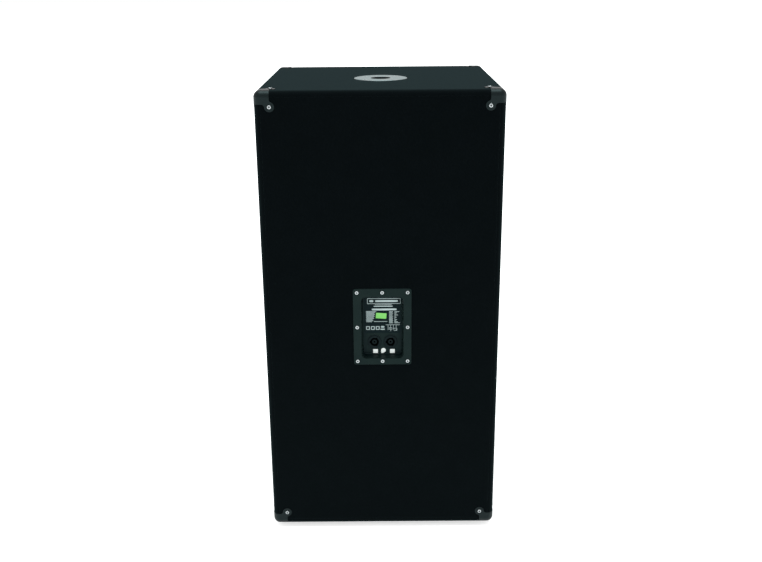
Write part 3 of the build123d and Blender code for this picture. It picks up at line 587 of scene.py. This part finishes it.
def ring(inset):
    """A rounded rectangle round the box, the same number of points at every inset."""
    half_x, low, high = WRAP_HIGH.x - inset, WRAP_LOW.z + inset, WRAP_HIGH.z - inset
    r = max(FELT_RADIUS - inset, LEAST_RADIUS)
    flat_x = WRAP_HIGH.x - FELT_RADIUS
    across = [x / flat_x for x in steps_between(-flat_x, flat_x)]
    up = steps_between(WRAP_LOW.z + FELT_RADIUS, WRAP_HIGH.z - FELT_RADIUS)
    up = [(z - up[0]) / (up[-1] - up[0]) for z in up]
    points = []
    points += [(half_x, low + r + t * (high - low - 2 * r)) for t in up]
    points += [(half_x - r + r * cos(a), high - r + r * sin(a)) for a in arc(6)[1:-1]]
    points += [(-t * (half_x - r), high) for t in across]
    points += [(-half_x + r - r * sin(a), high - r + r * cos(a)) for a in arc(6)[1:-1]]
    points += [(-half_x, high - r - t * (high - low - 2 * r)) for t in up]
    points += [(-half_x + r - r * cos(a), low + r - r * sin(a)) for a in arc(6)[1:-1]]
    points += [(t * (half_x - r), low) for t in across]
    points += [(half_x - r + r * sin(a), low + r - r * cos(a)) for a in arc(6)[1:-1]]
    return points


HANDLE_LOW, HANDLE_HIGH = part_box("handle_right")
PLATE_LOW, PLATE_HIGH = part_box("terminal_plate")
FLANGE_LOW, FLANGE_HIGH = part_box("pole_flange")
UNDER_FLANGE = 8 * MM  # how far the felt runs in under each flange
UNDER_PROTECTOR = 26 * MM  # how much of each corner is left bare under its protector


def over(point, low, high, axes):
    """Is the point inside a flanged part's outline, and not under its rim?"""
    return all(low[k] + UNDER_FLANGE < point[k] < high[k] - UNDER_FLANGE for k in axes)


def under_wrap_opening(centre):
    """Is the felt cut away here, for the handles, the pole flange or a corner protector?"""
    faces = zip(centre, WRAP_LOW, WRAP_HIGH)
    if all(min(c - low, high - c) < UNDER_PROTECTOR for c, low, high in faces):
        return True
    if centre.z > WRAP_HIGH.z - MM:
        reach = centre - (FLANGE_LOW + FLANGE_HIGH) / 2
        return hypot(reach.x, reach.y) < (FLANGE_HIGH.x - FLANGE_LOW.x) / 2 - UNDER_FLANGE
    return abs(centre.x) > WRAP_HIGH.x - MM and over(centre, HANDLE_LOW, HANDLE_HIGH, (1, 2))


def make_wrap():
    profile = wrap_profile()
    rings = [[(x, y, z) for x, z in ring(inset)] for inset, y in profile]
    columns = len(rings[0])
    wrap = piece(
        "felt_wrap",
        [p for one in rings for p in one],
        lattice(len(rings), columns, closed=True),
        MATERIALS["felt"],
        sharp=0,
    )
    outward(wrap)
    remove_faces(wrap, under_wrap_opening)
    thicken(wrap, FELT_THICK)
    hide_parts("carpet_wrap")


def make_back_felt():
    xs = steps_between(BACK_LOW.x, BACK_HIGH.x)
    zs = steps_between(BACK_LOW.z, BACK_HIGH.z)
    soft = [0.0, SEAM_ROUND / 3, SEAM_ROUND]
    xs = [xs[0] + s for s in soft] + xs[1:-1] + [xs[-1] - s for s in reversed(soft)]
    zs = [zs[0] + s for s in soft] + zs[1:-1] + [zs[-1] - s for s in reversed(soft)]

    def fall(x, z):
        """How far the felt's face falls away towards its cut edge."""
        edge = min(x - xs[0], xs[-1] - x, z - zs[0], zs[-1] - z)
        return SEAM_ROUND * (1 - sqrt(max(0.0, 1 - max(0.0, 1 - edge / SEAM_ROUND) ** 2)))

    points = [(x, BACK_HIGH.y - fall(x, z), z) for z in zs for x in xs]
    back = piece("felt_back", points, lattice(len(zs), len(xs)), MATERIALS["felt"], sharp=0)
    back.data.flip_normals()
    remove_faces(back, lambda centre: over(centre, PLATE_LOW, PLATE_HIGH, (0, 2)))
    thicken(back, FELT_THICK - SEAM_ROUND)
    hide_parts("carpet_rear")


make_wrap()
make_back_felt()


# ---- label and stickers on the terminal plate -----------------------------------------------
RECESS_DEPTH = 19 * MM
LABEL_Y = PLATE_HIGH.y - RECESS_DEPTH
PLATE_MIDDLE = (PLATE_LOW + PLATE_HIGH) / 2
FILM = 0.15 * MM
INK = 0.08 * MM
GREEN_PAPER = 0.1 * MM
WHITE_PAPER = 0.15 * MM
# outlines from here to make_label are in millimetres
DASH_HEIGHT = 0.4
DASH_RADIUS = 17.6
DASH_HALF_WIDTH = 0.5
DASH_HALF_TURN = 2.6  # degrees
SOCKET_LABEL_XS = (-16.2, 22.4)
SOCKET_LABEL_HALF = 5.5


def rounded_outline(left, right, low, high, radius, steps=5):
    """Points of a rounded rectangle, as seen from behind the cabinet."""
    corners = [
        (right, high, -1, -1, 0),
        (left, high, 1, -1, 90),
        (left, low, 1, 1, 180),
        (right, low, -1, 1, 270),
    ]
    points = []
    for x, z, sx, sz, start in corners:
        for a in arc(steps, start, start + 90):
            points.append((x + sx * radius + radius * cos(a), z + sz * radius + radius * sin(a)))
    return points


def plaques(name, outlines, material, rise, thickness):
    """Thin shapes on the recess floor, rise metres above it. An outline is (x, z) in
    millimetres from the plate's middle, x to the right as seen from behind."""
    points, faces = [], []
    for outline in outlines:
        start, count = len(points), len(outline)
        for depth in (rise, rise + thickness):
            for x, z in outline:
                place = (PLATE_MIDDLE.x - x * MM, LABEL_Y + depth, PLATE_MIDDLE.z + z * MM)
                points.append(place)
        faces.append(tuple(start + n for n in range(count)))
        faces.append(tuple(start + count + n for n in reversed(range(count))))
        for n in range(count):
            k = (n + 1) % count
            faces.append((start + k, start + n, start + count + n, start + count + k))
    outward(piece(name, points, faces, material))


def bars(left, top, height, lengths, gap):
    """Plain bars, one under another, that stand in for lines of print."""
    outlines = []
    for n, length in enumerate(lengths):
        high = top - n * (height + gap)
        outlines.append(rounded_outline(left, left + length, high - height, high, height / 3, 2))
    return outlines


def frame_outline(left, right, low, high, line):
    """Four thin bars that make an empty box."""
    return [
        rounded_outline(left, right, high - line, high, line / 4, 1),
        rounded_outline(left, right, low, low + line, line / 4, 1),
        rounded_outline(left, left + line, low + line, high - line, line / 4, 1),
        rounded_outline(right - line, right, low + line, high - line, line / 4, 1),
    ]


def printed_shapes():
    shapes = []
    # maker's panel: an empty frame with one plain bar in it
    shapes += frame_outline(-34, 41, 49.2, 62.4, 1.1)
    shapes += bars(-29, 58.5, 5.2, [9], 0)
    shapes += bars(-16, 58.1, 4.6, [51], 0)
    # three headings
    shapes += bars(-17, 47.4, 1.2, [38], 0)
    shapes += bars(-19.6, 44.4, 2.0, [43], 0)
    shapes += bars(-23.7, 38.0, 4.4, [56], 0)
    # the two columns of small print
    shapes += bars(-36.8, 32, 1.3, [23, 21, 19, 20, 18, 19, 17, 18, 15, 16, 13], 1.2)
    shapes += bars(-19, 7.4, 1.3, [30], 0)
    shapes += bars(15.2, 31, 1.4, [9, 8, 9, 7, 9, 8, 9, 8, 9, 8, 9], 1.3)
    shapes += bars(27.2, 31, 1.4, [11, 6, 4, 8, 3, 5, 2, 6, 4, 8, 13], 1.3)
    # approval marks: plain open squares and a bar
    for left in (-37, -26, -15):
        shapes += frame_outline(left, left + 8.5, -13.2, -4.6, 1.7)
    shapes += bars(-3.5, -4.1, 4.0, [8], 0) + bars(-4.5, -10.7, 2.6, [10], 0)
    # wiring drawing: a few straight lines and boxes
    shapes += bars(7.4, -0.8, 1.0, [32.6], 0)
    for left, drop in ((12.4, 12), (18.3, 15), (24.3, 11), (30.7, 14)):
        shapes += [rounded_outline(left, left + 0.9, -1.8 - drop, -1.8, 0.3, 1)]
    shapes += frame_outline(15, 22, -12.8, -7.9, 0.8) + frame_outline(25.8, 33.2, -15.8, -9.3, 0.8)
    return shapes


def socket_marks():
    """Short raised dashes on an arc above each socket, which show how far a plug turns."""
    marks = []
    for socket in ("socket_input", "socket_link"):
        low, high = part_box(socket)
        middle = ((low + high) / 2 - PLATE_MIDDLE) / MM
        x, z = -middle.x, middle.z
        near, far = DASH_RADIUS - DASH_HALF_WIDTH, DASH_RADIUS + DASH_HALF_WIDTH
        for turn in range(40, 141, 10):
            a, b = radians(turn - DASH_HALF_TURN), radians(turn + DASH_HALF_TURN)
            corners = ((far, a), (far, b), (near, b), (near, a))
            marks.append([(x + r * cos(t), z + r * sin(t)) for r, t in corners])
    return marks


def round_sticker():
    """A round sticker with a tab at its lower left."""
    x, z, radius = 2.0, -63.6, 5.4
    disc = [(x + radius * cos(a), z + radius * sin(a)) for a in arc(30, -75, 190)]
    return disc + [(-3.4, -67.5), (-2.8, -70.2), (0.6, -70.4)]


def green_sticker():
    """The oblong inspection sticker, put on a little askew."""
    middle_x, middle_z, turn = -2.7, 20.6, radians(-4)
    c, s = cos(turn), sin(turn)
    outline = rounded_outline(-12, 12, -6.6, 6.6, 1.2)
    return [(middle_x + x * c - z * s, middle_z + x * s + z * c) for x, z in outline]


def make_label():
    plaques("label_film", [rounded_outline(-40.8, 41.2, -21, 65.2, 3)], LABEL_FILM, 0.0, FILM)
    plaques("label_print", printed_shapes(), LABEL_INK, FILM, INK)
    plaques("socket_marks", socket_marks(), MATERIALS["plate_plastic"], 0.0, DASH_HEIGHT * MM)
    plaques("green_sticker", [green_sticker()], STICKER_GREEN, FILM + INK, GREEN_PAPER)
    half = SOCKET_LABEL_HALF
    labels = [rounded_outline(x - half, x + half, -70.3, -60.6, 0.8) for x in SOCKET_LABEL_XS]
    plaques("socket_labels", labels, STICKER_WHITE, 0.0, WHITE_PAPER)
    plaques("round_sticker", [round_sticker()], STICKER_WHITE, 0.0, WHITE_PAPER)


make_label()


# ---- grille ---------------------------------------------------------------------------------
HOLE_PITCH = 9 * MM
HOLE_RADIUS = 4.1 * MM  # to a corner of the six-sided hole
SHEET = 1.5 * MM
FOLD_RADIUS = 2.5 * MM
PLAIN_RIM = 8 * MM
SCREW_PAD = 8.5 * MM  # no holes this close to a screw
BLOCKS_LOW, BLOCKS_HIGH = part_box("grille_blocks")
BLOCK_HALF_WIDTH = 10 * MM
BLOCK_HALF_HEIGHT = 16 * MM
SCREWS_A_SIDE = 4


def screw_places():
    """Where the grille's screws are, from the ends of the row of blocks behind it."""
    low, high = BLOCKS_LOW.z + BLOCK_HALF_HEIGHT, BLOCKS_HIGH.z - BLOCK_HALF_HEIGHT
    x, gaps = BLOCKS_HIGH.x - BLOCK_HALF_WIDTH, SCREWS_A_SIDE - 1
    zs = [low + n * (high - low) / gaps for n in range(SCREWS_A_SIDE)]
    return [(side * x, z) for side in (-1, 1) for z in zs]


def make_grille():
    row = HOLE_PITCH * sqrt(3) / 2
    half_width = GRILLE_HIGH.x - FOLD_RADIUS - PLAIN_RIM
    height = GRILLE_HIGH.z - GRILLE_LOW.z - 2 * (FOLD_RADIUS + PLAIN_RIM)
    columns, rows = int(2 * half_width / HOLE_PITCH), int(height / row)
    left = -columns * HOLE_PITCH / 2
    bottom = (GRILLE_LOW.z + GRILLE_HIGH.z) / 2 - rows * row / 2
    front = GRILLE_LOW.y
    points, index, faces = [], {}, []
    screws = screw_places()

    def vertex(x, z, y=front):
        key = (round(x / MM, 3), round(z / MM, 3), round(y / MM, 3))
        if key not in index:
            index[key] = len(points)
            points.append((x, y, z))
        return index[key]

    def cell(x, z):
        """One plain cell, or one with a six-sided hole, centred on (x, z)."""
        a, b = HOLE_PITCH / 2, row / 2
        rim = [(a, b), (0, b), (-a, b), (-a, -b), (0, -b), (a, -b)]
        outer = [vertex(x + i, z + k) for i, k in rim]
        if any(hypot(x - sx, z - sz) < SCREW_PAD for sx, sz in screws):
            faces.append(tuple(outer))
            return
        hole = [(HOLE_RADIUS * cos(t), HOLE_RADIUS * sin(t)) for t in arc(5, 30, 330)]
        inner = [vertex(x + i, z + k) for i, k in hole]
        for n in range(6):
            k = (n + 1) % 6
            faces.append((outer[n], outer[k], inner[k], inner[n]))

    for j in range(rows):
        z = bottom + (j + 0.5) * row
        shift = HOLE_PITCH / 2 * (j % 2)
        for i in range(columns - j % 2):
            cell(left + (i + 0.5) * HOLE_PITCH + shift, z)
        if j % 2:
            for x0, x1 in ((left, left + HOLE_PITCH / 2), (-left - HOLE_PITCH / 2, -left)):
                b = row / 2
                corners = [(x0, z - b), (x1, z - b), (x1, z + b), (x0, z + b)]
                faces.append(tuple(vertex(x, k) for x, k in corners))

    right, top = -left, bottom + rows * row
    edge = [(x, bottom) for x in np.arange(left, right - MM, HOLE_PITCH / 2)]
    edge += [(right, z) for z in np.arange(bottom, top - MM, row)]
    edge += [(x, top) for x in np.arange(right, left + MM, -HOLE_PITCH / 2)]
    edge += [(left, z) for z in np.arange(top, bottom + MM, -row)]

    def spread(x, z, inset):
        """A point of the perforated field's edge, moved out to a rectangle near the sheet's."""
        half_x, low, high = GRILLE_HIGH.x - inset, GRILLE_LOW.z + inset, GRILLE_HIGH.z - inset
        return x / right * half_x, low + (z - bottom) / (top - bottom) * (high - low)

    f = FOLD_RADIUS
    folds = [(f, front)] + [(f - f * sin(a), front + f - f * cos(a)) for a in arc(4)[1:]]
    folds.append((0.0, GRILLE_HIGH.y))
    before = [vertex(x, z) for x, z in edge]
    for inset, y in folds:
        after = [vertex(*spread(x, z, inset), y) for x, z in edge]
        for n in range(len(edge)):
            k = (n + 1) % len(edge)
            faces.append((before[n], before[k], after[k], after[n]))
        before = after

    steel = MATERIALS["grille_steel"]
    made = piece("perforated_grille", points, faces, steel, sharp=50)
    outward(made)
    thicken(made, SHEET)
    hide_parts("grille")


make_grille()


# ---- the drivers' surrounds and spiders -----------------------------------------------------
SURROUND_SECTORS = 16
SURROUND_INNER = 160 * MM
SURROUND_RUBBER = 1.2 * MM
SURROUND_ROLL = 8 * MM
SURROUND_LIP = 0.8 * MM  # the small bend between the bead and the roll
SURROUND_DIP = 0.5 * MM
SPIDER_SECTORS = 8
SPIDER_INNER = 37.8 * MM
SPIDER_CLOTH = 1.0 * MM
SPIDER_WAVES = 8  # half waves
SPIDER_GLUED_INNER = 9 * MM
SPIDER_GLUED_OUTER = 13 * MM


def sector(name, profile, centre_z, start, end, material, steps=4):
    """Part of a ring turned about the driver's axis, from (radius, y) points, for the soft ring
    between the basket and the moving cone; it is attached to no body."""
    points = []
    for n in range(steps + 1):
        turn = start + (end - start) * n / steps
        points += [(r * cos(turn), y, centre_z + r * sin(turn)) for r, y in profile]
    faces = lattice(steps + 1, len(profile), closed=True)
    made = piece(name, points, faces, material, body=None, sharp=30)
    outward(made)

    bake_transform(made)
    return made


def surround_profile(low, high, outer, inner):
    """A rubber half roll with a thin bead on each side, closed round its thickness."""
    middle, roll = (outer + inner) / 2, SURROUND_ROLL
    front, dip = high - SURROUND_RUBBER, high - SURROUND_RUBBER - SURROUND_DIP
    bend = roll + SURROUND_LIP
    flat = bend + SURROUND_LIP
    line = [(outer, high), (outer, front), (middle + flat, front), (middle + bend, dip)]
    line += [(middle + roll * cos(a), front - roll * sin(a)) for a in arc(12, 4, 176)]
    line += [(middle - bend, dip), (middle - flat, front), (inner, front), (inner, high)]
    inside = roll - SURROUND_RUBBER
    line.append((middle - inside, high))
    line += [(middle + inside * cos(a), high - inside * sin(a)) for a in arc(12, 168, 12)]
    line.append((middle + inside, high))
    return line


def spider_profile(low, high, outer, inner):
    """A corrugated disc, flat where it is glued to the former and to the basket."""
    half = SPIDER_CLOTH / 2
    middle, swell = (low + high) / 2, (high - low) / 2 - half
    first, last = inner + SPIDER_GLUED_INNER, outer - SPIDER_GLUED_OUTER
    radii = steps_between(first, last, (last - first) / (SPIDER_WAVES * 6))
    turn = pi * SPIDER_WAVES / (last - first)
    face = [(r, middle + swell * sin(turn * (r - first))) for r in radii]
    face = [(inner, middle)] + face + [(outer, middle)]
    return [(r, y - half) for r, y in face] + [(r, y + half) for r, y in reversed(face)]


def make_soft_rings():
    for level in ("upper", "lower"):
        kinds = (
            ("surround", surround_profile, SURROUND_SECTORS, SURROUND_INNER),
            ("spider", spider_profile, SPIDER_SECTORS, SPIDER_INNER),
        )
        for kind, shape, count, inner in kinds:
            node = f"woofer_{level}_{kind}"
            low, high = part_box(node)
            centre_z, outer = (low.z + high.z) / 2, (high.x - low.x) / 2
            profile = shape(low.y, high.y, outer, inner)
            slot = DRIVER_SLOTS[kind]
            for n in range(count):
                start, end = 2 * pi * n / count, 2 * pi * (n + 1) / count
                name = f"{level}_{kind}_{n + 1:02d}"
                made = sector(name, profile, centre_z, start, end, MATERIALS[slot])
                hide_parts(node)


make_soft_rings()


# ---- wadding inside -------------------------------------------------------------------------
WADDING_STEP = 12 * MM
WADDING_FALL = 30 * MM  # how far in from its cut edge it thins
WADDING_EDGE = 0.35  # of its thickness, at the cut edge
WADDING_LUMPS = 0.14  # of its thickness
LUMPS_A_METRE = 22
LUMP_SHIFT = 9  # a metre from panel to panel, so that no two pads have the same lumps


def islands(node):
    """The (lowest, highest) corners of each separate solid in a CAD node."""
    solid = bmesh.new()
    solid.from_mesh(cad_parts[node].data)
    bmesh.ops.remove_doubles(solid, verts=solid.verts, dist=0.01 * MM)
    left, boxes = set(solid.verts), []
    while left:
        todo, seen = [left.pop()], []
        while todo:
            vert = todo.pop()
            seen.append(vert.co.copy())
            near = [e.other_vert(vert) for e in vert.link_edges]
            near = [v for v in near if v in left]
            left.difference_update(near)
            todo += near
        low = Vector(min(p[k] for p in seen) for k in range(3))
        high = Vector(max(p[k] for p in seen) for k in range(3))
        boxes.append((low, high))
    solid.free()
    return sorted(boxes, key=lambda box: tuple(round(v, 4) for v in box[0]))


def make_pad(name, low, high):
    """A batt of wadding against a panel: crowned, lumpy, and thin along its cut edges."""
    size = high - low
    thin = min(range(3), key=lambda k: size[k])
    first, second = [k for k in range(3) if k != thin]
    inward = -1 if abs(high[thin]) > abs(low[thin]) else 1
    wall = high[thin] if inward < 0 else low[thin]
    us = steps_between(low[first], high[first], WADDING_STEP)
    vs = steps_between(low[second], high[second], WADDING_STEP)
    points = []
    for u in us:
        for v in vs:
            edge = min(u - us[0], us[-1] - u, v - vs[0], vs[-1] - v)
            crown = WADDING_EDGE + (1 - WADDING_EDGE) * min(1.0, edge / WADDING_FALL) ** 0.5
            place = Vector((u * LUMPS_A_METRE, v * LUMPS_A_METRE, wall * LUMP_SHIFT))
            lump = 1 - WADDING_LUMPS + WADDING_LUMPS * noise.noise(place)
            point = [0.0, 0.0, 0.0]
            point[first], point[second] = u, v
            point[thin] = wall + inward * size[thin] * crown * lump
            points.append(point)
    rows, columns = len(us), len(vs)
    faces = lattice(rows, columns)
    # the cut edge, round from the first point, then walls down to the panel and a face on it
    rim = list(range(columns)) + [i * columns + columns - 1 for i in range(1, rows)]
    rim += [(rows - 1) * columns + j for j in reversed(range(columns - 1))]
    rim += [i * columns for i in reversed(range(1, rows - 1))]
    foot = [len(points) + n for n in range(len(rim))]
    for n in rim:
        point = list(points[n])
        point[thin] = wall
        points.append(point)
    for n in range(len(rim)):
        k = (n + 1) % len(rim)
        faces.append((rim[n], rim[k], foot[k], foot[n]))
    faces.append(tuple(foot))
    made = piece(name, points, faces, MATERIALS["damping_felt"], sharp=0)
    outward(made)
    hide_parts("damping_pads")


for number, (low, high) in enumerate(islands("damping_pads"), 1):
    make_pad(f"wadding_{number}", low, high)


# ---- sizes ----------------------------------------------------------------------------------
low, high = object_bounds()
